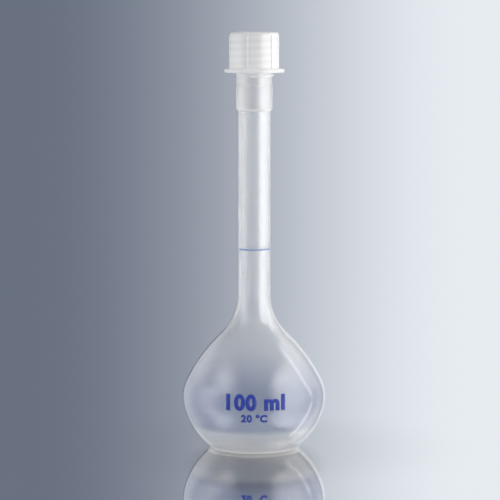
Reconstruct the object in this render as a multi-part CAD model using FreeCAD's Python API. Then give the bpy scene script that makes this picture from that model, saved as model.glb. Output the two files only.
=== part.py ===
import FreeCAD, Part
import math
import os

# A 100 ml plastic volumetric flask with a screw cap, in millimetres.
# The flask stands on the plane z = 0 with its axis on Z.
# The printed inscription is on the side that faces -Y.

# Bulb, blown in one piece with the neck: its outline is a chain of tangent arcs
BULB_DIAMETER = 60.9
EQUATOR_HEIGHT = 21.9
EQUATOR_ARC = 17.7
TURN_ABOVE_EQUATOR = 26.3
TURN_BELOW_EQUATOR = 15.3
SHOULDER_ARC = 67.9
FLARE_ARC = 22.6
LOWER_ARC = 33.0
BULB_WALL = 0.66

# Base: a flat standing ring, and inside it a cone up to a round panel
BASE_CORNER = 1.2
STANDING_RING_WIDTH = 1.6
PANEL_DIAMETER = 23.0
PUSH_UP_HEIGHT = 2.4
FLOOR_WALL = 0.8

# Neck, with the collar that stops the thread
NECK_DIAMETER = 13.84
NECK_WALL = 1.05
COLLAR_BOTTOM = 144.7
COLLAR_TOP = 154.4
COLLAR_BOTTOM_DIAMETER = 15.36
COLLAR_TOP_DIAMETER = 15.64
COLLAR_CHAMFER_HEIGHT = 0.95
COLLAR_EDGE = 0.2

# Mouth: the cylinder under the screw thread, and its lip
LIP_HEIGHT = 174.65
FINISH_DIAMETER = 15.2
LIP_CHAMFER = 0.45

# Screw thread of 3 mm pitch: only its room is cut in the cap
THREAD_DEPTH = 1.15
THREAD_CLEARANCE = 0.25

# Screw cap
CAP_HEIGHT = 17.0
CAP_PLATE = 1.3
CAP_TOP_DIAMETER = 20.8
CAP_FOOT_DIAMETER = 21.1
CAP_EDGE_ROUND = 1.1
CAP_MOUTH_CHAMFER = 0.4
TOP_PAD_DIAMETER = 15.7
TOP_PAD_HEIGHT = 0.15
FLANGE_DIAMETER = 25.65
FLANGE_THICKNESS = 1.55
FLANGE_CHAMFER = 0.3
RIB_COUNT = 6
RIB_WIDTH = 0.85
RIB_HEIGHT = 0.3
RIB_ROOT = 0.4
RIB_NOSE_ROUND = 0.2
FIRST_RIB_ANGLE = -105.5

# Sealing liner, loose under the cap's plate
LINER_THICKNESS = 1.0
LINER_CLEARANCE = 0.2

# Printed graduation ring round the neck
MARK_HEIGHT = 85.3
MARK_WIDTH = 0.45
INK_THICKNESS = 0.05

AXIS_POINT = FreeCAD.Vector(0, 0, 0)
AXIS = FreeCAD.Vector(0, 0, 1)
FULL_TURN = 360
CUBIC_MM_PER_ML = 1000


def at(radius, height):
    """A point of a profile, in the plane y = 0."""
    return FreeCAD.Vector(radius, 0, height)


def toward(centre, radius, angle):
    """The point at a distance and an upward angle in degrees from a profile point."""
    turn = math.radians(angle)
    return centre + at(radius * math.cos(turn), radius * math.sin(turn))


def line(start, end):
    return Part.LineSegment(start, end).toShape()


def lines(*points):
    """Straight edges from each point to the next."""
    return [line(a, b) for a, b in zip(points, points[1:])]


def arc(centre, radius, start_angle, end_angle):
    """An arc of a profile between two angles in degrees, in the order given."""
    middle_angle = (start_angle + end_angle) / 2
    start = toward(centre, radius, start_angle)
    middle = toward(centre, radius, middle_angle)
    end = toward(centre, radius, end_angle)
    return Part.Arc(start, middle, end).toShape()


def turned(edges):
    """The solid that a closed profile sweeps round the flask's axis."""
    face = Part.Face(Part.Wire(Part.__sortEdges__(edges)))
    return face.revolve(AXIS_POINT, AXIS, FULL_TURN)


def bulb_chain(neck_radius, floor, wall, corner):
    """Tangent arcs from the neck down to the floor, inset by a wall from the outside.

    Gives the arcs, the height where the straight neck ends and the radius where the floor starts.
    """
    bulb_radius = BULB_DIAMETER / 2 - wall
    equator_arc = EQUATOR_ARC - wall
    shoulder_arc = SHOULDER_ARC - wall
    lower_arc = LOWER_ARC - wall
    flare_arc = FLARE_ARC + wall

    equator = at(bulb_radius - equator_arc, EQUATOR_HEIGHT)
    shoulder = toward(equator, equator_arc - shoulder_arc, TURN_ABOVE_EQUATOR)
    lower = toward(equator, equator_arc - lower_arc, -TURN_BELOW_EQUATOR)

    # The flare is tangent to the neck's wall, and the base corner to the floor
    reach = shoulder_arc + flare_arc
    flare_angle = math.degrees(math.acos((neck_radius + flare_arc - shoulder.x) / reach))
    flare = toward(shoulder, reach, flare_angle)
    drop = lower_arc - corner
    corner_angle = math.degrees(math.asin((lower.z - floor - corner) / drop))
    base_corner = toward(lower, drop, -corner_angle)

    arcs = [
        arc(flare, flare_arc, 180, 180 + flare_angle),
        arc(shoulder, shoulder_arc, flare_angle, TURN_ABOVE_EQUATOR),
        arc(equator, equator_arc, TURN_ABOVE_EQUATOR, -TURN_BELOW_EQUATOR),
        arc(lower, lower_arc, -TURN_BELOW_EQUATOR, -corner_angle),
        arc(base_corner, corner, -corner_angle, -90),
    ]
    return arcs, flare.z, base_corner.x


def push_up(ring_radius, floor):
    """One face of the base: the cone from the standing ring up to the panel, then the panel."""
    panel = floor + PUSH_UP_HEIGHT
    return lines(at(ring_radius, floor), at(PANEL_DIAMETER / 2, panel), at(0, panel))


def flask_profile():
    """Outside, base, inside and mouth of the flask as one closed outline."""
    neck_radius = NECK_DIAMETER / 2
    bore_radius = neck_radius - NECK_WALL
    finish_radius = FINISH_DIAMETER / 2
    outside, neck_foot, foot_radius = bulb_chain(neck_radius, 0, 0, BASE_CORNER)
    inside, bore_foot, floor_radius = bulb_chain(bore_radius, FLOOR_WALL, BULB_WALL, BASE_CORNER)
    ring_radius = foot_radius - STANDING_RING_WIDTH

    base = [
        line(at(foot_radius, 0), at(ring_radius, 0)),
        *push_up(ring_radius, 0),
        line(at(0, PUSH_UP_HEIGHT), at(0, PUSH_UP_HEIGHT + FLOOR_WALL)),
        *push_up(ring_radius, FLOOR_WALL),
        line(at(ring_radius, FLOOR_WALL), at(floor_radius, FLOOR_WALL)),
    ]
    mouth = lines(
        at(bore_radius, bore_foot),
        at(bore_radius, LIP_HEIGHT - LIP_CHAMFER),
        at(bore_radius + LIP_CHAMFER, LIP_HEIGHT),
        at(finish_radius - LIP_CHAMFER, LIP_HEIGHT),
        at(finish_radius, LIP_HEIGHT - LIP_CHAMFER),
        at(finish_radius, COLLAR_TOP + COLLAR_EDGE),
        at(COLLAR_TOP_DIAMETER / 2, COLLAR_TOP - COLLAR_EDGE),
        at(COLLAR_BOTTOM_DIAMETER / 2, COLLAR_BOTTOM),
        at(neck_radius, COLLAR_BOTTOM - COLLAR_CHAMFER_HEIGHT),
        at(neck_radius, neck_foot),
    )
    return outside + base + inside + mouth


def capacity(flask):
    """Millilitres that the flask holds up to its graduation ring."""
    slab = Part.makeCylinder(BULB_DIAMETER, MARK_HEIGHT)
    middle = at(0, EQUATOR_HEIGHT)
    spaces = slab.cut(flask).Solids
    held = [space.Volume for space in spaces if space.isInside(middle, Part.Precision.confusion(), False)]
    return sum(held) / CUBIC_MM_PER_ML


def cap_profile(bore_radius, underside):
    """Half section of the cap: flange, tapering skirt, rounded edge, plate, raised pad and bore."""
    top = underside + CAP_HEIGHT
    flange_top = underside + FLANGE_THICKNESS
    flange_radius = FLANGE_DIAMETER / 2
    top_radius = CAP_TOP_DIAMETER / 2
    edge_centre = at(top_radius - CAP_EDGE_ROUND, top - CAP_EDGE_ROUND)
    pad_radius = TOP_PAD_DIAMETER / 2

    flange_and_skirt = lines(
        at(bore_radius + CAP_MOUTH_CHAMFER, underside),
        at(flange_radius - FLANGE_CHAMFER, underside),
        at(flange_radius, underside + FLANGE_CHAMFER),
        at(flange_radius, flange_top - FLANGE_CHAMFER),
        at(flange_radius - FLANGE_CHAMFER, flange_top),
        at(CAP_FOOT_DIAMETER / 2, flange_top),
        at(top_radius, edge_centre.z),
    )
    edge = arc(edge_centre, CAP_EDGE_ROUND, 0, 90)
    plate_and_bore = lines(
        at(edge_centre.x, top),
        at(pad_radius + TOP_PAD_HEIGHT, top),
        at(pad_radius, top + TOP_PAD_HEIGHT),
        at(0, top + TOP_PAD_HEIGHT),
        at(0, top - CAP_PLATE),
        at(bore_radius, top - CAP_PLATE),
        at(bore_radius, underside + CAP_MOUTH_CHAMFER),
        at(bore_radius + CAP_MOUTH_CHAMFER, underside),
    )
    return [*flange_and_skirt, edge, *plate_and_bore]


def grip_rib(underside):
    """One upright rib on the +X side of the cap's tapering skirt, with a rounded nose."""
    foot = underside + FLANGE_THICKNESS
    top = underside + CAP_HEIGHT - CAP_EDGE_ROUND
    foot_radius = CAP_FOOT_DIAMETER / 2
    top_radius = CAP_TOP_DIAMETER / 2
    side = Part.Face(Part.makePolygon([
        at(foot_radius - RIB_ROOT, foot),
        at(foot_radius + RIB_HEIGHT, foot),
        at(top_radius + RIB_HEIGHT, top - RIB_HEIGHT),
        at(top_radius, top),
        at(top_radius - RIB_ROOT, top),
        at(foot_radius - RIB_ROOT, foot),
    ]))
    side.translate(FreeCAD.Vector(0, -RIB_WIDTH / 2, 0))
    rib = side.extrude(FreeCAD.Vector(0, RIB_WIDTH, 0))
    nose = [edge for edge in rib.Edges if is_nose(edge, foot_radius, top_radius)]
    return rib.makeFillet(min(RIB_NOSE_ROUND, RIB_WIDTH / 3), nose)


def is_nose(edge, foot_radius, top_radius):
    """Whether an edge of a rib runs up its outer face."""
    ends = [vertex.Point for vertex in edge.Vertexes]
    outside = all(end.x > min(foot_radius, top_radius) + RIB_HEIGHT / 2 for end in ends)
    return outside and abs(ends[0].z - ends[1].z) > CAP_HEIGHT / 2


def screw_cap(bore_radius):
    """The cap with its ring of grip ribs, seated on the liner."""
    underside = LIP_HEIGHT + LINER_THICKNESS + CAP_PLATE - CAP_HEIGHT
    cap = turned(cap_profile(bore_radius, underside))
    ribs = []
    for step in range(RIB_COUNT):
        rib = grip_rib(underside)
        rib.rotate(AXIS_POINT, AXIS, FIRST_RIB_ANGLE + step * FULL_TURN / RIB_COUNT)
        ribs.append(rib)
    return cap.multiFuse(ribs).removeSplitter()


def cap_liner(bore_radius):
    """The disc that the cap presses on the lip."""
    radius = bore_radius - LINER_CLEARANCE
    return Part.makeCylinder(radius, LINER_THICKNESS, at(0, LIP_HEIGHT))


def graduation_ring():
    """The band of ink at the level of 100 ml."""
    inner = NECK_DIAMETER / 2
    bottom = at(0, MARK_HEIGHT - MARK_WIDTH / 2)
    band = Part.makeCylinder(inner + INK_THICKNESS, MARK_WIDTH, bottom)
    return band.cut(Part.makeCylinder(inner, MARK_WIDTH, bottom))


def export(shape, name):
    """Write one sub-part, after a test that it is a single sound solid."""
    if not shape.isValid() or len(shape.Solids) != 1:
        raise ValueError(name + " is not one valid solid")
    shape.Solids[0].exportStep("parts/" + name + ".step")


os.makedirs("parts", exist_ok=True)
cap_bore_radius = FINISH_DIAMETER / 2 + THREAD_DEPTH + THREAD_CLEARANCE
flask_body = turned(flask_profile())
export(flask_body, "flask_body")
export(screw_cap(cap_bore_radius), "screw_cap")
export(cap_liner(cap_bore_radius), "cap_liner")
export(graduation_ring(), "graduation_ring")
print("capacity to the ring, ml:", round(capacity(flask_body), 2))
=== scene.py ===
import math
import bpy
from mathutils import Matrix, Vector


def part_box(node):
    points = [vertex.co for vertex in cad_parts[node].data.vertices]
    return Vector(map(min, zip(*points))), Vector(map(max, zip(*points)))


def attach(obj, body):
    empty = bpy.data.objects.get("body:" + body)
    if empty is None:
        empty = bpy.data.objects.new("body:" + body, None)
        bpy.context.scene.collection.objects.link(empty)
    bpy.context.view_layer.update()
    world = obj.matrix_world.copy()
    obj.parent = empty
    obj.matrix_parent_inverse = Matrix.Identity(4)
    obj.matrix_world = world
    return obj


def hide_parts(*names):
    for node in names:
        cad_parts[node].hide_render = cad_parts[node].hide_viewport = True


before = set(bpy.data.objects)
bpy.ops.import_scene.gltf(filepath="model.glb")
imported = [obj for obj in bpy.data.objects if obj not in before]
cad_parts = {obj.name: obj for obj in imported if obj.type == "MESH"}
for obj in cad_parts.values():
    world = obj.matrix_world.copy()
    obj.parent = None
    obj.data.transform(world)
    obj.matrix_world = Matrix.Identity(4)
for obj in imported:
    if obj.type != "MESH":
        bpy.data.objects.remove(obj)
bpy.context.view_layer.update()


# Flask body
# A hollow blow-moulded piece of milky polypropylene: pushed-up base, thin bulb, long neck,
# collar and mouth are one wall. The right-hand screw thread is moulded on the mouth.
MM = 0.001
TURN = 2 * math.pi
BULB_DIAMETER = 60.9 * MM
EQUATOR_HEIGHT = 21.9 * MM
EQUATOR_ARC = 17.7 * MM
TURN_ABOVE_EQUATOR = 26.3
TURN_BELOW_EQUATOR = 15.3
SHOULDER_ARC = 67.9 * MM
FLARE_ARC = 22.6 * MM
LOWER_ARC = 33.0 * MM
BULB_WALL = 0.66 * MM
BASE_CORNER = 1.2 * MM
STANDING_RING_WIDTH = 1.6 * MM
PANEL_DIAMETER = 23.0 * MM
PUSH_UP_HEIGHT = 2.4 * MM
FLOOR_WALL = 0.8 * MM
NECK_DIAMETER = 13.84 * MM
NECK_WALL = 1.05 * MM
COLLAR_BOTTOM = 144.7 * MM
COLLAR_TOP = 154.4 * MM
COLLAR_BOTTOM_DIAMETER = 15.36 * MM
COLLAR_TOP_DIAMETER = 15.64 * MM
COLLAR_CHAMFER_HEIGHT = 0.95 * MM
COLLAR_EDGE = 0.2 * MM
COLLAR_ROUND = 0.4 * MM
FINISH_DIAMETER = 15.2 * MM
LIP_ROUND = 0.45 * MM
FLASK_SIDES = 160
FLASK_CREASE = 18
ARC_STEP = 2.5
FEWEST_ARC_STEPS = 4
LONGEST_FACE = 4 * MM
MERGE_DISTANCE = 0.001 * MM
SLIVER = 0.0001 * MM
LIP_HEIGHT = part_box("flask_body")[1].z


def at(radius, height):
    """A point of an outline, in the plane y = 0."""
    return Vector((radius, 0, height))


def toward(centre, radius, angle):
    """The point at a distance and an upward angle in degrees from an outline's point."""
    turn = math.radians(angle)
    return centre + at(radius * math.cos(turn), radius * math.sin(turn))


def arc(centre, radius, start, end):
    """Points along an arc of an outline between two angles in degrees."""
    steps = max(FEWEST_ARC_STEPS, math.ceil(abs(end - start) / ARC_STEP))
    return [toward(centre, radius, start + (end - start) * step / steps) for step in range(steps + 1)]


def bulb_outline(neck_radius, floor, wall):
    """Tangent arcs from the neck down to the floor, inset by a wall from the outside."""
    equator_arc = EQUATOR_ARC - wall
    shoulder_arc = SHOULDER_ARC - wall
    lower_arc = LOWER_ARC - wall
    flare_arc = FLARE_ARC + wall
    equator = at(BULB_DIAMETER / 2 - wall - equator_arc, EQUATOR_HEIGHT)
    shoulder = toward(equator, equator_arc - shoulder_arc, TURN_ABOVE_EQUATOR)
    lower = toward(equator, equator_arc - lower_arc, -TURN_BELOW_EQUATOR)
    reach = shoulder_arc + flare_arc
    flare_angle = math.degrees(math.acos((neck_radius + flare_arc - shoulder.x) / reach))
    drop = lower_arc - BASE_CORNER
    corner_angle = math.degrees(math.asin((lower.z - floor - BASE_CORNER) / drop))
    points = arc(toward(shoulder, reach, flare_angle), flare_arc, 180, 180 + flare_angle)
    points += arc(shoulder, shoulder_arc, flare_angle, TURN_ABOVE_EQUATOR)[1:]
    points += arc(equator, equator_arc, TURN_ABOVE_EQUATOR, -TURN_BELOW_EQUATOR)[1:]
    points += arc(lower, lower_arc, -TURN_BELOW_EQUATOR, -corner_angle)[1:]
    points += arc(toward(lower, drop, -corner_angle), BASE_CORNER, -corner_angle, -90)[1:]
    return points


def push_up(ring_radius, floor):
    """The ogee from the standing ring up to the panel, and the panel to the axis."""
    panel_radius = PANEL_DIAMETER / 2
    run = ring_radius - panel_radius
    bend = 2 * math.degrees(math.atan2(PUSH_UP_HEIGHT, run))
    radius = run / (2 * math.sin(math.radians(bend)))
    panel = floor + PUSH_UP_HEIGHT
    points = arc(at(ring_radius, floor + radius), radius, -90, -90 - bend)
    points += arc(at(panel_radius, panel - radius), radius, 90 - bend, 90)[1:]
    return points + [at(panel_radius / 2, panel), at(0, panel)]


def spaced(points, longest):
    """The same outline with its long straight stretches divided."""
    result = points[:1]
    for here, there in zip(points, points[1:]):
        steps = max(1, math.ceil((there - here).length / longest))
        result += [here.lerp(there, step / steps) for step in range(1, steps + 1)]
    return result


def draw_outline(name, points):
    """Start a piece as one vertex and extrude it from point to point."""
    bpy.ops.object.select_all(action="DESELECT")
    bpy.ops.mesh.primitive_plane_add(size=MM)
    piece = bpy.context.object
    piece.name = name
    piece.data.name = name
    bpy.ops.object.mode_set(mode="EDIT")
    bpy.ops.mesh.select_all(action="SELECT")
    bpy.ops.mesh.merge(type="CENTER")
    bpy.ops.transform.translate(value=points[0])
    for here, there in zip(points, points[1:]):
        bpy.ops.mesh.extrude_vertices_move(TRANSFORM_OT_translate={"value": there - here})
    return piece


def spin_outline(sides):
    """Turn the outline being edited once round the axis and close it at its poles."""
    bpy.ops.mesh.select_all(action="SELECT")
    bpy.ops.mesh.spin(steps=sides, angle=TURN, center=(0, 0, 0), axis=(0, 0, 1))
    bpy.ops.mesh.select_all(action="SELECT")
    bpy.ops.mesh.remove_doubles(threshold=MERGE_DISTANCE)
    bpy.ops.mesh.dissolve_degenerate(threshold=SLIVER)
    bpy.ops.mesh.select_all(action="SELECT")
    bpy.ops.mesh.normals_make_consistent(inside=False)
    bpy.ops.object.mode_set(mode="OBJECT")


def smooth(piece, angle):
    """Smooth shading, with a crease where faces meet at more than an angle in degrees."""
    bpy.ops.object.select_all(action="DESELECT")
    piece.select_set(True)
    bpy.context.view_layer.objects.active = piece
    bpy.ops.object.shade_smooth_by_angle(angle=math.radians(angle))


neck_radius = NECK_DIAMETER / 2
bore_radius = neck_radius - NECK_WALL
finish_radius = FINISH_DIAMETER / 2
lip_flat = LIP_HEIGHT - LIP_ROUND
outside = bulb_outline(neck_radius, 0, 0)
inside = bulb_outline(bore_radius, FLOOR_WALL, BULB_WALL)
ring_radius = outside[-1].x - STANDING_RING_WIDTH
flask_outline = push_up(ring_radius, FLOOR_WALL)[::-1] + inside[::-1]
flask_outline += arc(at(bore_radius + LIP_ROUND, lip_flat), LIP_ROUND, 180, 90)
flask_outline += arc(at(finish_radius - LIP_ROUND, lip_flat), LIP_ROUND, 90, 0)
collar_radius = COLLAR_BOTTOM_DIAMETER / 2
chamfer_lean = math.degrees(math.atan2(collar_radius - neck_radius, COLLAR_CHAMFER_HEIGHT))
round_height = COLLAR_BOTTOM + COLLAR_ROUND * math.tan(math.radians(chamfer_lean / 2))
flask_outline += [
    at(finish_radius, COLLAR_TOP + COLLAR_EDGE),
    at(COLLAR_TOP_DIAMETER / 2, COLLAR_TOP - COLLAR_EDGE),
]
flask_outline += arc(at(collar_radius - COLLAR_ROUND, round_height), COLLAR_ROUND, 0, -chamfer_lean)
flask_outline += [at(neck_radius, COLLAR_BOTTOM - COLLAR_CHAMFER_HEIGHT)]
flask_outline += outside + push_up(ring_radius, 0)
flask = draw_outline("flask", spaced(flask_outline, LONGEST_FACE))
spin_outline(FLASK_SIDES)

# The thread starts at the front under the cap, shallow at first, and rises to the right
THREAD_PITCH = 3.0 * MM
THREAD_DEPTH = 1.15 * MM
THREAD_ROOT = 1.7 * MM
THREAD_CREST = 0.8 * MM
THREAD_SINK = 0.15 * MM
THREAD_STEPS = 72
FIRST_DEPTH = 0.25 * MM
RUN_OUT_STEP = 8
THREAD_NOSE = 5
NECK_THREAD_START = -101
NECK_THREAD_BOTTOM = 158.2 * MM
NECK_THREAD_TURNS = 4.7
NECK_LEAD_IN = 200
LEAD_OUT = 48


def thread_ridge(name, root_radius, crest_radius, start_angle, bottom, turns, lead_in, lead_out):
    """A right-hand helical ridge of trapezium section that sinks into its wall towards both ends."""
    outward = math.copysign(1, crest_radius - root_radius)
    sunk_radius = root_radius - outward * THREAD_SINK
    section = [
        at(sunk_radius, -THREAD_ROOT / 2),
        at(root_radius, -THREAD_ROOT / 2),
        at(crest_radius, -THREAD_CREST / 2),
        at(crest_radius, THREAD_CREST / 2),
        at(root_radius, THREAD_ROOT / 2),
        at(sunk_radius, THREAD_ROOT / 2),
    ]
    full_turns = turns - (lead_in + lead_out) / 360
    full_start = start_angle + lead_in
    full_bottom = bottom + THREAD_PITCH * lead_in / 360
    ridge = draw_outline(name, section + section[:1])
    bpy.ops.mesh.select_all(action="SELECT")
    bpy.ops.mesh.remove_doubles(threshold=MERGE_DISTANCE)
    bpy.ops.transform.translate(value=(0, 0, full_bottom))
    bpy.ops.transform.rotate(value=-math.radians(full_start), orient_axis="Z", center_override=(0, 0, 0))
    bpy.ops.object.mode_set(mode="OBJECT")
    bpy.ops.object.modifier_add(type="SCREW")
    screw = ridge.modifiers[-1]
    screw.angle = TURN * full_turns
    screw.screw_offset = THREAD_PITCH * full_turns
    screw.steps = round(THREAD_STEPS * full_turns)
    screw.render_steps = screw.steps
    bpy.ops.object.modifier_apply(modifier=screw.name)
    for way, angle, run_out in ((1, full_start + 360 * full_turns, lead_out), (-1, full_start, lead_in)):
        bpy.ops.object.mode_set(mode="EDIT")
        bpy.ops.mesh.select_all(action="DESELECT")
        bpy.ops.object.mode_set(mode="OBJECT")
        corners = len(section)
        end = ridge.data.vertices[-corners:] if way > 0 else ridge.data.vertices[:corners]
        for corner in end:
            corner.select = True
        bpy.ops.object.mode_set(mode="EDIT")
        steps = round(run_out / RUN_OUT_STEP)
        sink = outward * (abs(crest_radius - root_radius) - FIRST_DEPTH) / steps
        for turn_step, inward in [(RUN_OUT_STEP, sink)] * steps + [(THREAD_NOSE, 0)]:
            angle += way * turn_step
            turn = math.radians(angle)
            rise = way * THREAD_PITCH * turn_step / 360
            bpy.ops.mesh.extrude_region_move()
            bpy.ops.transform.rotate(value=-way * math.radians(turn_step), orient_axis="Z",
                                     center_override=(0, 0, 0))
            bpy.ops.transform.translate(value=(-inward * math.cos(turn), -inward * math.sin(turn), rise))
        bpy.ops.mesh.merge(type="CENTER")
        bpy.ops.object.mode_set(mode="OBJECT")
    bpy.ops.object.mode_set(mode="EDIT")
    bpy.ops.mesh.select_all(action="SELECT")
    bpy.ops.mesh.normals_make_consistent(inside=False)
    bpy.ops.object.mode_set(mode="OBJECT")
    return ridge


def fuse(piece, *tools):
    """Unite other closed meshes with a piece, and drop them."""
    for tool in tools:
        bpy.ops.object.select_all(action="DESELECT")
        bpy.context.view_layer.objects.active = piece
        piece.select_set(True)
        bpy.ops.object.modifier_add(type="BOOLEAN")
        union = piece.modifiers[-1]
        union.operation = "UNION"
        union.solver = "MANIFOLD"
        union.object = tool
        bpy.ops.object.modifier_apply(modifier=union.name)
        piece.select_set(False)
        tool.select_set(True)
        bpy.ops.object.delete()


neck_thread = thread_ridge("neck_thread", finish_radius, finish_radius + THREAD_DEPTH, NECK_THREAD_START,
                           NECK_THREAD_BOTTOM, NECK_THREAD_TURNS, NECK_LEAD_IN, LEAD_OUT)
fuse(flask, neck_thread)
smooth(flask, FLASK_CREASE)

# Polypropylene is milky where its wall is thick, in the neck and the base, and clearer in the bulb
THICK_WALL = (0.985, 0.992, 1.0, 1)
THREAD_WHITE = (1.0, 1.0, 1.0, 1)
COLLAR_WHITE = (0.975, 0.975, 0.975, 1)
BASE_WHITE = (0.97, 0.975, 0.98, 1)
CLOUD_SCALE = 120
CLOUD_DEPTH = 0.05
THIN_WALL = (0.55, 0.59, 0.71, 1)
BASE_THICK = 8.5 * MM
BASE_THIN = 12 * MM
NECK_THIN = 17 * MM
NECK_THICK = 50 * MM
BASE_MILKINESS = 0.95
FLASK_CLARITY = 0.91
BASE_CLARITY = 0.12
COLLAR_CLARITY = 0.9
THREAD_CLARITY = 0.2
THIN_ROUGHNESS = 0.17
THICK_ROUGHNESS = 0.22
BASE_ROUGHNESS = 0.5
MOUTH_ROUGHNESS = 0.28
PLASTIC_IOR = 1.49
SCATTER_DEPTH = 2 * MM
SKIN_IOR = 1.6
SKIN_ROUGHNESS = 0.12
LAMP_LIGHT_THROUGH = (0.95, 0.95, 0.95, 1)
WALL_SWELL = 0.08 * MM
WALL_SWELL_SCALE = 70
PICK_MARGIN = 0.01 * MM


def polypropylene(name, clarity):
    """A translucent plastic under a smooth skin: its shader and the means to reach it."""
    material = bpy.data.materials.new(name)
    material.use_nodes = True
    nodes = material.node_tree.nodes
    shader = nodes["Principled BSDF"]
    shader.inputs["Transmission Weight"].default_value = clarity
    shader.inputs["IOR"].default_value = PLASTIC_IOR
    shader.inputs["Subsurface Weight"].default_value = 1
    shader.inputs["Subsurface Radius"].default_value = (1, 1, 1)
    shader.inputs["Subsurface Scale"].default_value = SCATTER_DEPTH
    shader.inputs["Coat Weight"].default_value = 1
    shader.inputs["Coat Roughness"].default_value = SKIN_ROUGHNESS
    shader.inputs["Coat IOR"].default_value = SKIN_IOR
    links = material.node_tree.links
    rays = nodes.new("ShaderNodeLightPath")
    through = nodes.new("ShaderNodeBsdfTransparent")
    through.inputs["Color"].default_value = LAMP_LIGHT_THROUGH
    surface = nodes.new("ShaderNodeMixShader")
    links.new(rays.outputs["Is Shadow Ray"], surface.inputs["Fac"])
    links.new(shader.outputs["BSDF"], surface.inputs[1])
    links.new(through.outputs["BSDF"], surface.inputs[2])
    links.new(surface.outputs["Shader"], nodes["Material Output"].inputs["Surface"])
    return material, nodes, links, shader


def ramp(nodes, links, value, low, high, bottom=0, top=1):
    """A smooth change of a value from one end of a range to the other."""
    node = nodes.new("ShaderNodeMapRange")
    node.interpolation_type = "SMOOTHSTEP"
    node.inputs["From Min"].default_value = low
    node.inputs["From Max"].default_value = high
    node.inputs["To Min"].default_value = bottom
    node.inputs["To Max"].default_value = top
    links.new(value, node.inputs["Value"])
    return node.outputs["Result"]


flask_pp, nodes, links, shader = polypropylene("flask_pp", FLASK_CLARITY)
place = nodes.new("ShaderNodeTexCoord")
upward = nodes.new("ShaderNodeSeparateXYZ")
links.new(place.outputs["Object"], upward.inputs["Vector"])
in_neck = ramp(nodes, links, upward.outputs["Z"], NECK_THIN, NECK_THICK)
in_base = ramp(nodes, links, upward.outputs["Z"], BASE_THICK, BASE_THIN, BASE_MILKINESS, 0)
thick = nodes.new("ShaderNodeMath")
thick.operation = "MAXIMUM"
links.new(in_neck, thick.inputs[0])
links.new(in_base, thick.inputs[1])
tint = nodes.new("ShaderNodeMix")
tint.data_type = "RGBA"
tint.inputs["A"].default_value = THIN_WALL
tint.inputs["B"].default_value = THICK_WALL
links.new(thick.outputs["Value"], tint.inputs["Factor"])
links.new(tint.outputs["Result"], shader.inputs["Base Color"])
roughness = ramp(nodes, links, thick.outputs["Value"], 0, 1, THIN_ROUGHNESS, THICK_ROUGHNESS)
links.new(roughness, shader.inputs["Roughness"])
swell = nodes.new("ShaderNodeTexNoise")
swell.inputs["Scale"].default_value = WALL_SWELL_SCALE
swell.inputs["Detail"].default_value = 1
links.new(place.outputs["Object"], swell.inputs["Vector"])
uneven = nodes.new("ShaderNodeBump")
uneven.inputs["Distance"].default_value = WALL_SWELL
links.new(swell.outputs["Fac"], uneven.inputs["Height"])
links.new(uneven.outputs["Normal"], shader.inputs["Normal"])
links.new(uneven.outputs["Normal"], shader.inputs["Coat Normal"])

# One effect clouds every other surface of the flask and its cap: a soft noise between two near tones
clouds = bpy.data.node_groups.new("clouds", "ShaderNodeTree")
clouds.interface.new_socket("Tone", in_out="INPUT", socket_type="NodeSocketColor")
clouds.interface.new_socket("Cloud Tone", in_out="INPUT", socket_type="NodeSocketColor")
clouds.interface.new_socket("Scale", in_out="INPUT", socket_type="NodeSocketFloat")
clouds.interface.new_socket("Colour", in_out="OUTPUT", socket_type="NodeSocketColor")
clouds.interface.new_socket("Density", in_out="OUTPUT", socket_type="NodeSocketFloat")
given = clouds.nodes.new("NodeGroupInput")
result = clouds.nodes.new("NodeGroupOutput")
place = clouds.nodes.new("ShaderNodeTexCoord")
density = clouds.nodes.new("ShaderNodeTexNoise")
clouds.links.new(place.outputs["Object"], density.inputs["Vector"])
clouds.links.new(given.outputs["Scale"], density.inputs["Scale"])
tone = clouds.nodes.new("ShaderNodeMix")
tone.data_type = "RGBA"
clouds.links.new(density.outputs["Fac"], tone.inputs["Factor"])
clouds.links.new(given.outputs["Tone"], tone.inputs["A"])
clouds.links.new(given.outputs["Cloud Tone"], tone.inputs["B"])
clouds.links.new(tone.outputs["Result"], result.inputs["Colour"])
clouds.links.new(density.outputs["Fac"], result.inputs["Density"])


def clouded(nodes, tone, change, scale):
    """Places the clouds in a material, from one tone to a lighter or darker one."""
    node = nodes.new("ShaderNodeGroup")
    node.node_tree = clouds
    node.inputs["Tone"].default_value = tone
    node.inputs["Cloud Tone"].default_value = [value * (1 + change) for value in tone[:3]] + [1]
    node.inputs["Scale"].default_value = scale
    return node.outputs


def milky_plastic(name, clarity, tone, roughness):
    """Polypropylene in a thick stretch of the flask's wall, slightly cloudy."""
    material, nodes, links, shader = polypropylene(name, clarity)
    shader.inputs["Roughness"].default_value = roughness
    links.new(clouded(nodes, tone, -CLOUD_DEPTH, CLOUD_SCALE)["Colour"], shader.inputs["Base Color"])
    return material


base_pp = milky_plastic("flask_base_pp", BASE_CLARITY, BASE_WHITE, BASE_ROUGHNESS)
collar_pp = milky_plastic("flask_collar_pp", COLLAR_CLARITY, COLLAR_WHITE, MOUTH_ROUGHNESS)
thread_pp = milky_plastic("flask_thread_pp", THREAD_CLARITY, THREAD_WHITE, MOUTH_ROUGHNESS)
floor_top = FLOOR_WALL + PUSH_UP_HEIGHT


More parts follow.
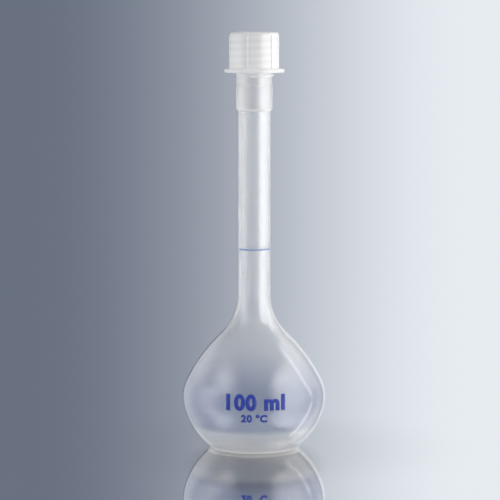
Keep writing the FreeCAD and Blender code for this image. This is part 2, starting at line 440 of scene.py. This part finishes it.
def dress(piece, wall, *others):
    """Gives a piece the material of its wall, and others on the faces that their tests pick."""
    piece.data.materials.clear()
    piece.data.materials.append(wall)
    for index, (material, picks) in enumerate(others, start=1):
        piece.data.materials.append(material)
        bpy.ops.object.mode_set(mode="EDIT")
        bpy.ops.mesh.select_mode(type="FACE")
        bpy.ops.mesh.select_all(action="DESELECT")
        bpy.ops.object.mode_set(mode="OBJECT")
        for face in piece.data.polygons:
            face.select = picks(face.center)
        bpy.ops.object.mode_set(mode="EDIT")
        piece.active_material_index = index
        bpy.ops.object.material_slot_assign()
        bpy.ops.mesh.select_mode(type="VERT")
        bpy.ops.object.mode_set(mode="OBJECT")


def in_flask_floor(spot):
    """Whether a spot of the flask is in its floor or its standing ring."""
    in_floor = spot.z < floor_top + PICK_MARGIN and spot.xy.length < outside[-1].x
    return in_floor or spot.z < BASE_CORNER


def in_collar(spot):
    """Whether a spot of the flask is on its collar or above."""
    return spot.z > COLLAR_BOTTOM - COLLAR_CHAMFER_HEIGHT


def in_thick_edge(spot):
    """Whether a spot of the flask is on its thread or on the lower edge of its collar."""
    return spot.z > NECK_THREAD_BOTTOM or in_collar(spot) and spot.z < COLLAR_BOTTOM + COLLAR_ROUND


dress(flask, flask_pp, (base_pp, in_flask_floor), (collar_pp, in_collar), (thread_pp, in_thick_edge))
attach(flask, "flask")
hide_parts("flask_body")


# Graduation ring
# A fine line of blue ink printed right round the neck at the level of the stated volume.
RING_SIDES = 160
RING_CREASE = 30
INK_SINK = 0.02 * MM
INK_ROUGHNESS = 0.4
RING_BLUE = (0.09, 0.19, 0.47, 1)
MOTTLE_SCALE = 900
MOTTLE_DEPTH = 0.35
ring_low, ring_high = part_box("graduation_ring")
ink_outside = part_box("graduation_ring")[1].x
band = [
    at(neck_radius - INK_SINK, ring_low.z),
    at(ink_outside, ring_low.z),
    at(ink_outside, ring_high.z),
    at(neck_radius - INK_SINK, ring_high.z),
]
ring = draw_outline("graduation_mark", band + band[:1])
spin_outline(RING_SIDES)
smooth(ring, RING_CREASE)


def printed_ink(name, colour):
    """Slightly glossy ink, a little uneven where the pad lifted off."""
    material = bpy.data.materials.new(name)
    material.use_nodes = True
    nodes = material.node_tree.nodes
    links = material.node_tree.links
    shader = nodes["Principled BSDF"]
    shader.inputs["Roughness"].default_value = INK_ROUGHNESS
    mottled = clouded(nodes, colour, MOTTLE_DEPTH, MOTTLE_SCALE)["Colour"]
    links.new(mottled, shader.inputs["Base Color"])
    return material


ring.data.materials.clear()
ring.data.materials.append(printed_ink("ring_ink", RING_BLUE))
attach(ring, "flask")
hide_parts("graduation_ring")


# Volume print
# Blue pad printing on the front of the bulb, as thin as the ink film.
INK_BLUE = (0.013, 0.035, 0.29, 1)
PRINT_LINES = (("100 ml", 8.6 * MM, 20.9 * MM), ("20 \u00b0C", 4.2 * MM, 15.6 * MM))
LETTER_SPACING = 1.1
LETTER_WEIGHT = 0.05
INK_FILM = 0.04 * MM
PRINT_CELL = 1.0 * MM
print_pieces = []
for words, size, height in PRINT_LINES:
    bpy.ops.object.select_all(action="DESELECT")
    bpy.ops.object.text_add()
    letters = bpy.context.object
    letters.data.body = words
    letters.data.size = size
    letters.data.offset = LETTER_WEIGHT * size
    letters.data.space_character = LETTER_SPACING
    letters.data.align_x = "CENTER"
    letters.data.align_y = "BOTTOM_BASELINE"
    bpy.ops.object.convert(target="MESH")
    bpy.ops.object.mode_set(mode="EDIT")
    bpy.ops.mesh.select_all(action="SELECT")
    bpy.ops.transform.rotate(value=-math.pi / 2, orient_axis="X", center_override=(0, 0, 0))
    bpy.ops.transform.translate(value=(0, -BULB_DIAMETER, height))
    half = math.ceil(BULB_DIAMETER / 2 / PRINT_CELL)
    for cell in range(-half, half + 1):
        bpy.ops.mesh.select_all(action="SELECT")
        bpy.ops.mesh.bisect(plane_co=(cell * PRINT_CELL, 0, 0), plane_no=(1, 0, 0))
    for cell in range(math.ceil(size / PRINT_CELL)):
        bpy.ops.mesh.select_all(action="SELECT")
        bpy.ops.mesh.bisect(plane_co=(0, 0, height + cell * PRINT_CELL), plane_no=(0, 0, 1))
    bpy.ops.object.mode_set(mode="OBJECT")
    print_pieces.append(letters)
bpy.ops.object.select_all(action="DESELECT")
for letters in print_pieces:
    letters.select_set(True)
bpy.context.view_layer.objects.active = print_pieces[0]
bpy.ops.object.join()
inscription = bpy.context.object
inscription.name = "volume_print"
inscription.data.name = "volume_print"
bpy.ops.object.modifier_add(type="SHRINKWRAP")
wrap = inscription.modifiers[-1]
wrap.target = flask
wrap.wrap_method = "PROJECT"
wrap.use_project_y = True
wrap.use_positive_direction = True
wrap.use_negative_direction = False
bpy.ops.object.modifier_apply(modifier=wrap.name)
bpy.ops.object.modifier_add(type="SOLIDIFY")
film = inscription.modifiers[-1]
film.thickness = INK_FILM
film.offset = 1
bpy.ops.object.modifier_apply(modifier=film.name)
inscription.data.materials.clear()
inscription.data.materials.append(printed_ink("blue_ink", INK_BLUE))
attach(inscription, "flask")


# Screw cap
# An injection-moulded cap of thicker, milkier polypropylene with a flange at its foot, six fine
# upright grip ribs and a raised pad on top. Its inner thread runs between the turns of the mouth's.
CAP_PLATE = 1.3 * MM
CAP_TOP_DIAMETER = 20.8 * MM
CAP_FOOT_DIAMETER = 21.1 * MM
CAP_EDGE_ROUND = 1.1 * MM
CAP_MOUTH_CHAMFER = 0.4 * MM
CAP_CORNER = 0.6 * MM
TOP_PAD_DIAMETER = 15.7 * MM
TOP_PAD_HEIGHT = 0.15 * MM
FLANGE_DIAMETER = 25.65 * MM
FLANGE_THICKNESS = 1.55 * MM
FLANGE_ROUND = 0.4 * MM
THREAD_CLEARANCE = 0.25 * MM
CAP_THREAD_BOTTOM = NECK_THREAD_BOTTOM + 1.5 * THREAD_PITCH
CAP_THREAD_TURNS = 3.3
CAP_SIDES = 144
CAP_CREASE = 30
RIB_COUNT = 6
RIB_WIDTH = 0.85 * MM
RIB_HEIGHT = 0.3 * MM
RIB_ROOT = 0.4 * MM
RIB_ROUND = 0.2 * MM
RIB_ROUND_STEPS = 3
FIRST_RIB_ANGLE = -105.5
cap_low, cap_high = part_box("screw_cap")
cap_bottom = cap_low.z
cap_top = cap_high.z - TOP_PAD_HEIGHT
cap_bore = finish_radius + THREAD_DEPTH + THREAD_CLEARANCE
plate_bottom = cap_top - CAP_PLATE
flange_top = cap_bottom + FLANGE_THICKNESS
flange_radius = FLANGE_DIAMETER / 2
cap_radius = CAP_TOP_DIAMETER / 2
foot_radius = CAP_FOOT_DIAMETER / 2
cap_outline = [at(0, plate_bottom)]
cap_outline += arc(at(cap_bore - CAP_CORNER, plate_bottom - CAP_CORNER), CAP_CORNER, 90, 0)
cap_outline += [at(cap_bore, cap_bottom + CAP_MOUTH_CHAMFER), at(cap_bore + CAP_MOUTH_CHAMFER, cap_bottom)]
cap_outline += arc(at(flange_radius - FLANGE_ROUND, cap_bottom + FLANGE_ROUND), FLANGE_ROUND, -90, 0)
cap_outline += arc(at(flange_radius - FLANGE_ROUND, flange_top - FLANGE_ROUND), FLANGE_ROUND, 0, 90)
cap_outline += arc(at(foot_radius + FLANGE_ROUND, flange_top + FLANGE_ROUND), FLANGE_ROUND, -90, -180)
cap_outline += arc(at(cap_radius - CAP_EDGE_ROUND, cap_top - CAP_EDGE_ROUND), CAP_EDGE_ROUND, 0, 90)
cap_outline += [
    at(TOP_PAD_DIAMETER / 2 + TOP_PAD_HEIGHT, cap_top),
    at(TOP_PAD_DIAMETER / 2, cap_top + TOP_PAD_HEIGHT),
    at(0, cap_top + TOP_PAD_HEIGHT),
]
cap = draw_outline("screw_cap_shell", cap_outline)
spin_outline(CAP_SIDES)

# One rib is a slim block with a rounded nose, then copied round the skirt
rib_foot = flange_top - FLANGE_ROUND
rib_top = cap_top - CAP_EDGE_ROUND
rib_inside = cap_radius - RIB_ROOT
rib_outside = foot_radius + RIB_HEIGHT
bpy.ops.object.select_all(action="DESELECT")
bpy.ops.mesh.primitive_cube_add(size=1)
ribs = bpy.context.object
bpy.ops.object.mode_set(mode="EDIT")
bpy.ops.transform.resize(value=(rib_outside - rib_inside, RIB_WIDTH, rib_top - rib_foot))
bpy.ops.transform.translate(value=((rib_outside + rib_inside) / 2, 0, (rib_top + rib_foot) / 2))
bpy.ops.mesh.select_all(action="DESELECT")
bpy.ops.object.mode_set(mode="OBJECT")
for edge in ribs.data.edges:
    ends = [ribs.data.vertices[index].co for index in edge.vertices]
    edge.select = min(end.x for end in ends) > cap_radius and (ends[0] - ends[1]).length > RIB_WIDTH
bpy.ops.object.mode_set(mode="EDIT")
bpy.ops.mesh.select_mode(type="EDGE")
bpy.ops.mesh.bevel(offset=RIB_ROUND, segments=RIB_ROUND_STEPS)
bpy.ops.mesh.select_mode(type="VERT")
bpy.ops.mesh.select_all(action="SELECT")
bpy.ops.transform.rotate(value=-math.radians(FIRST_RIB_ANGLE), orient_axis="Z", center_override=(0, 0, 0))
bpy.ops.mesh.spin(steps=RIB_COUNT - 1, angle=TURN * (1 - 1 / RIB_COUNT), dupli=True,
                  center=(0, 0, 0), axis=(0, 0, 1))
bpy.ops.object.mode_set(mode="OBJECT")
cap_thread = thread_ridge("cap_thread", cap_bore, finish_radius + THREAD_CLEARANCE, NECK_THREAD_START,
                          CAP_THREAD_BOTTOM, CAP_THREAD_TURNS, LEAD_OUT, LEAD_OUT)
fuse(cap, ribs, cap_thread)
smooth(cap, CAP_CREASE)
CAP_COLOUR = (0.99, 0.99, 0.985, 1)
CAP_THIN_COLOUR = (0.88, 0.885, 0.89, 1)
CAP_CLARITY = 0.25
CAP_ROUGHNESS = 0.16
CAP_SHEEN = 0.5
CAP_SHEEN_ROUGHNESS = 0.2
CLOUD_SHARE = 0.3
THREAD_SHARE = 0.7


def cap_plastic(name):
    """The cap's plastic, a little cloudy, and whiter along its inner thread, where the wall is thick."""
    material, nodes, links, shader = polypropylene(name, CAP_CLARITY)
    shader.inputs["Roughness"].default_value = CAP_ROUGHNESS
    shader.inputs["Sheen Weight"].default_value = CAP_SHEEN
    shader.inputs["Sheen Roughness"].default_value = CAP_SHEEN_ROUGHNESS
    density = clouded(nodes, CAP_COLOUR, -CLOUD_DEPTH, CLOUD_SCALE)["Density"]
    place = nodes.new("ShaderNodeTexCoord")
    spot = nodes.new("ShaderNodeSeparateXYZ")
    links.new(place.outputs["Object"], spot.inputs["Vector"])

    def reckon(operation, *values):
        """A step of arithmetic on numbers and sockets."""
        step = nodes.new("ShaderNodeMath")
        step.operation = operation
        for socket, value in zip(step.inputs, values):
            if isinstance(value, (int, float)):
                socket.default_value = value
            else:
                links.new(value, socket)
        return step.outputs["Value"]

    angle = reckon("ARCTAN2", spot.outputs["Y"], spot.outputs["X"])
    rise = reckon("SUBTRACT", spot.outputs["Z"], NECK_THREAD_BOTTOM)
    climb = reckon("MULTIPLY", rise, TURN / THREAD_PITCH)
    start = math.pi - math.radians(NECK_THREAD_START)
    turned = reckon("SUBTRACT", reckon("SUBTRACT", climb, angle), start)
    between = ramp(nodes, links, reckon("COSINE", turned), -1, 1, 1, 0)
    thin = reckon("MULTIPLY_ADD", density, CLOUD_SHARE, reckon("MULTIPLY", between, THREAD_SHARE))
    tint = nodes.new("ShaderNodeMix")
    tint.data_type = "RGBA"
    tint.inputs["A"].default_value = CAP_COLOUR
    tint.inputs["B"].default_value = CAP_THIN_COLOUR
    links.new(thin, tint.inputs["Factor"])
    links.new(tint.outputs["Result"], shader.inputs["Base Color"])
    return material


dress(cap, cap_plastic("cap_pp"))
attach(cap, "cap")
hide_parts("screw_cap")


# Sealing liner
# A loose disc of soft white foam that the cap presses on the lip.
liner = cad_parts["cap_liner"]
LINER_WHITE = (0.9, 0.9, 0.89, 1)
FOAM_ROUGHNESS = 0.6
FOAM_CELL_SCALE = 2500
FOAM_CELL_DEPTH = 0.09
FOAM_CELL_RELIEF = 0.05 * MM
foam = bpy.data.materials.new("liner_foam")
foam.use_nodes = True
nodes = foam.node_tree.nodes
links = foam.node_tree.links
shader = nodes["Principled BSDF"]
shader.inputs["Roughness"].default_value = FOAM_ROUGHNESS
cells = clouded(nodes, LINER_WHITE, -FOAM_CELL_DEPTH, FOAM_CELL_SCALE)
links.new(cells["Colour"], shader.inputs["Base Color"])
relief = nodes.new("ShaderNodeBump")
relief.inputs["Distance"].default_value = FOAM_CELL_RELIEF
links.new(cells["Density"], relief.inputs["Height"])
links.new(relief.outputs["Normal"], shader.inputs["Normal"])
liner.data.materials.clear()
liner.data.materials.append(foam)


# Camera
# A long lens a metre in front, a little above the flask and looking slightly down.
CAMERA_PLACE = Vector((-0.00175, -1.0, 0.180))
CAMERA_PITCH = 5.444
LENS = 170
FILM_WIDTH = 36
NEAREST_SEEN = 0.01
bpy.ops.object.camera_add(location=CAMERA_PLACE, rotation=(math.radians(90 - CAMERA_PITCH), 0, 0))
camera = bpy.context.object
camera.data.sensor_width = FILM_WIDTH
camera.data.lens = LENS
camera.data.clip_start = NEAREST_SEEN
bpy.context.scene.camera = camera


# Floor and backdrop
# A plain room, grey on the left and paler to the right, over a polished acrylic table top. The acrylic
# mirrors the room and the flask. It is a little matt round the flask, and its polish is painted darker in
# front of it: a painted shadow.
ROOM_LEFT = (0.412, 0.440, 0.502, 1)
ROOM_RIGHT = (0.902, 0.922, 0.945, 1)
ROOM_ROUND = (0.67, 0.705, 0.755, 1)
ROOM_DIM = (0.55, 0.55, 0.555, 1)
FIELD = 0.0945
FIELD_FROM = (0.85, 0.98)
ROOM_SHADE_FROM = (0.10, 0.18)
ROOM_SHADE = 0.55
ENCODING = 2.2
TABLE_TONE = (0.30, 0.31, 0.33, 1)
TABLE_POLISH = (1.0, 1.0, 1.0, 1)
PAINTED_SHADOW_POLISH = (0.74, 0.73, 0.71, 1)
SHADE_CENTRE = (0, -0.04, 0)
SHADE_HALF_WIDTHS = (0.032, 0.075, 1)
SHADE_NEAR = 0.5
SHADE_FAR = 1.0
POLISH_ROUGHNESS = 0.03
TABLE_MATT = 0.1
MATT_ROUGHNESS = 0.6
MATT_NEAR = 0.03
MATT_FAR = 0.10
TABLE_SIDE = 6.0
TABLE_GAP = 0.02 * MM


def room_tone(nodes, links, sideways, away):
    """The room's tone along a line of sight that goes so far sideways and so far away."""
    slope = nodes.new("ShaderNodeMath")
    slope.operation = "DIVIDE"
    links.new(sideways, slope.inputs[0])
    links.new(away, slope.inputs[1])
    tone = nodes.new("ShaderNodeMix")
    tone.data_type = "RGBA"
    tone.inputs["A"].default_value = ROOM_LEFT
    tone.inputs["B"].default_value = ROOM_RIGHT
    links.new(ramp(nodes, links, slope.outputs["Value"], -FIELD, FIELD), tone.inputs["Factor"])
    return tone.outputs["Result"]


def level(nodes, links, tone):
    """The light of a tone that is written as it looks."""
    gamma = nodes.new("ShaderNodeGamma")
    gamma.inputs["Gamma"].default_value = ENCODING
    links.new(tone, gamma.inputs["Color"])
    return gamma.outputs["Color"]


world = bpy.data.worlds.new("room")
bpy.context.scene.world = world
world.use_nodes = True
nodes = world.node_tree.nodes
links = world.node_tree.links
dim = nodes["Background"]
dim.inputs["Color"].default_value = ROOM_DIM
place = nodes.new("ShaderNodeTexCoord")
axes = nodes.new("ShaderNodeSeparateXYZ")
links.new(place.outputs["Generated"], axes.inputs["Vector"])
around = nodes.new("ShaderNodeMix")
around.data_type = "RGBA"
around.inputs["A"].default_value = ROOM_ROUND
links.new(room_tone(nodes, links, axes.outputs["X"], axes.outputs["Y"]), around.inputs["B"])
links.new(ramp(nodes, links, axes.outputs["Y"], *FIELD_FROM), around.inputs["Factor"])
room = nodes.new("ShaderNodeBackground")
links.new(level(nodes, links, around.outputs["Result"]), room.inputs["Color"])
rays = nodes.new("ShaderNodeLightPath")
# Painted shade: seen through the flask, the room is darker upwards from a low angle, which darkens what is
# seen looking up through it, chiefly its mirror image in the table
shade = nodes.new("ShaderNodeMath")
shade.operation = "MULTIPLY"
links.new(ramp(nodes, links, axes.outputs["Z"], *ROOM_SHADE_FROM, 0, ROOM_SHADE), shade.inputs[0])
links.new(rays.outputs["Is Transmission Ray"], shade.inputs[1])
strength = nodes.new("ShaderNodeMath")
strength.operation = "SUBTRACT"
strength.inputs[0].default_value = 1
links.new(shade.outputs["Value"], strength.inputs[1])
links.new(strength.outputs["Value"], room.inputs["Strength"])
straight = nodes.new("ShaderNodeMath")
straight.operation = "MAXIMUM"
links.new(rays.outputs["Is Camera Ray"], straight.inputs[0])
links.new(rays.outputs["Is Glossy Ray"], straight.inputs[1])
seen = nodes.new("ShaderNodeMath")
seen.operation = "MAXIMUM"
links.new(straight.outputs["Value"], seen.inputs[0])
links.new(rays.outputs["Is Transmission Ray"], seen.inputs[1])
shown = nodes.new("ShaderNodeMixShader")
links.new(seen.outputs["Value"], shown.inputs["Fac"])
links.new(dim.outputs["Background"], shown.inputs[1])
links.new(room.outputs["Background"], shown.inputs[2])
links.new(shown.outputs["Shader"], nodes["World Output"].inputs["Surface"])
bpy.ops.object.select_all(action="DESELECT")
bpy.ops.mesh.primitive_plane_add(size=TABLE_SIDE)
table = bpy.context.object
table.name = "table_top"
bpy.ops.object.mode_set(mode="EDIT")
bpy.ops.transform.translate(value=(0, 0, -TABLE_GAP))
bpy.ops.object.mode_set(mode="OBJECT")
acrylic = bpy.data.materials.new("table_acrylic")
acrylic.use_nodes = True
nodes = acrylic.node_tree.nodes
links = acrylic.node_tree.links
matt = nodes["Principled BSDF"]
matt.inputs["Roughness"].default_value = MATT_ROUGHNESS
matt.inputs["Specular IOR Level"].default_value = 0
matt.inputs["Base Color"].default_value = TABLE_TONE
place = nodes.new("ShaderNodeTexCoord")
polish = nodes.new("ShaderNodeBsdfGlossy")
polish.inputs["Roughness"].default_value = POLISH_ROUGHNESS
# Painted shade: the polish is darker inside an ellipse in front of the flask, which reads as its shadow
# and dims its mirror image
shade_place = nodes.new("ShaderNodeMapping")
shade_place.vector_type = "TEXTURE"
shade_place.inputs["Location"].default_value = SHADE_CENTRE
shade_place.inputs["Scale"].default_value = SHADE_HALF_WIDTHS
links.new(place.outputs["Object"], shade_place.inputs["Vector"])
shade_reach = nodes.new("ShaderNodeVectorMath")
shade_reach.operation = "LENGTH"
links.new(shade_place.outputs["Vector"], shade_reach.inputs[0])
shine = nodes.new("ShaderNodeMix")
shine.data_type = "RGBA"
shine.inputs["A"].default_value = PAINTED_SHADOW_POLISH
shine.inputs["B"].default_value = TABLE_POLISH
out_of_painted_shadow = ramp(nodes, links, shade_reach.outputs["Value"], SHADE_NEAR, SHADE_FAR)
links.new(out_of_painted_shadow, shine.inputs["Factor"])
links.new(shine.outputs["Result"], polish.inputs["Color"])
reach = nodes.new("ShaderNodeVectorMath")
reach.operation = "LENGTH"
links.new(place.outputs["Object"], reach.inputs[0])
surface = nodes.new("ShaderNodeMixShader")
mattness = ramp(nodes, links, reach.outputs["Value"], MATT_NEAR, MATT_FAR, TABLE_MATT, 0)
links.new(mattness, surface.inputs["Fac"])
links.new(polish.outputs["BSDF"], surface.inputs[1])
links.new(matt.outputs["BSDF"], surface.inputs[2])
links.new(surface.outputs["Shader"], nodes["Material Output"].inputs["Surface"])
table.data.materials.append(acrylic)

# The face that is looked at mirrors the room alone. One just under it mirrors the lamps onto the flask
bpy.ops.object.duplicate()
under_face = bpy.context.object
under_face.name = "table_under_face"
under_face.location.z = -TABLE_GAP
gloss = bpy.data.materials.new("table_gloss")
gloss.use_nodes = True
shader = gloss.node_tree.nodes["Principled BSDF"]
shader.inputs["Metallic"].default_value = 1
shader.inputs["Base Color"].default_value = TABLE_POLISH
shader.inputs["Roughness"].default_value = POLISH_ROUGHNESS
under_face.data.materials[0] = gloss
under_face.visible_camera = False
table.visible_diffuse = False
table.visible_glossy = False
table.visible_transmission = False
table.visible_shadow = False


# Lamps
# Soft boxes that are brightest in the middle: a large bright one on the right, a narrow one beside it
# that draws a line down the bulb, and weaker ones on the left and behind. They reach below the table
# top, which hides their lower edges, and don't light the face of the table that is looked at.
LAMP_WARMTH = (1.0, 0.965, 0.925)
LAMPS = (
    ("key", 62, 0.70, 0.34, (1.20, 1.18), (0.42, 0.21), 8.7),
    ("right_side", 114, 0.62, 0.30, (1.00, 1.10), (0.40, 0.22), 2.15),
    ("right_strip", 103, 0.62, 0.44, (0.10, 1.00), (0.30, 0.20), 0.55),
    ("right_top", 116, 0.62, 0.46, (1.10, 0.90), (0.50, 0.50), 2.1),
    ("right_line", 154, 0.62, 0.30, (0.16, 1.10), (0.40, 0.22), 0.35),
    ("left_top", -61, 0.60, 0.50, (0.85, 0.90), (0.50, 0.50), 2.85),
    ("left_side", -80, 0.60, 0.08, (0.75, 0.66), (0.45, 0.30), 1.65),
    ("left_back", -122, 0.60, 0.12, (0.85, 0.74), (0.45, 0.30), 1.0),
    ("left_line", -154, 0.62, 0.30, (0.16, 1.10), (0.40, 0.22), 0.2),
)
unlit = bpy.data.collections.new("lit_by_the_room_alone")
unlit.objects.link(table)
unlit.collection_objects[0].light_linking.link_state = "EXCLUDE"
for name, azimuth, distance, height, (width, tall), soft_edges, power in LAMPS:
    turn = math.radians(azimuth)
    stand = (distance * math.sin(turn), -distance * math.cos(turn), height)
    bpy.ops.object.light_add(type="AREA", location=stand, rotation=(math.pi / 2, 0, turn))
    lamp = bpy.context.object
    lamp.name = name
    lamp.visible_camera = False
    lamp.light_linking.receiver_collection = unlit
    lamp.data.shape = "RECTANGLE"
    lamp.data.size = width
    lamp.data.size_y = tall
    lamp.data.energy = power
    lamp.data.color = LAMP_WARMTH
    lamp.data.use_nodes = True
    nodes = lamp.data.node_tree.nodes
    links = lamp.data.node_tree.links
    face = nodes.new("ShaderNodeNewGeometry")
    sides = nodes.new("ShaderNodeSeparateXYZ")
    links.new(face.outputs["Parametric"], sides.inputs["Vector"])
    glow = nodes.new("ShaderNodeMath")
    glow.operation = "MULTIPLY"
    for socket, side, soft_edge in zip(glow.inputs, ("X", "Y"), soft_edges):
        from_edge = nodes.new("ShaderNodeMath")
        from_edge.operation = "PINGPONG"
        from_edge.inputs[1].default_value = 0.5
        links.new(sides.outputs[side], from_edge.inputs[0])
        links.new(ramp(nodes, links, from_edge.outputs["Value"], 0, soft_edge), socket)
    links.new(glow.outputs["Value"], nodes["Emission"].inputs["Strength"])
bpy.context.scene.view_settings.view_transform = "Standard"
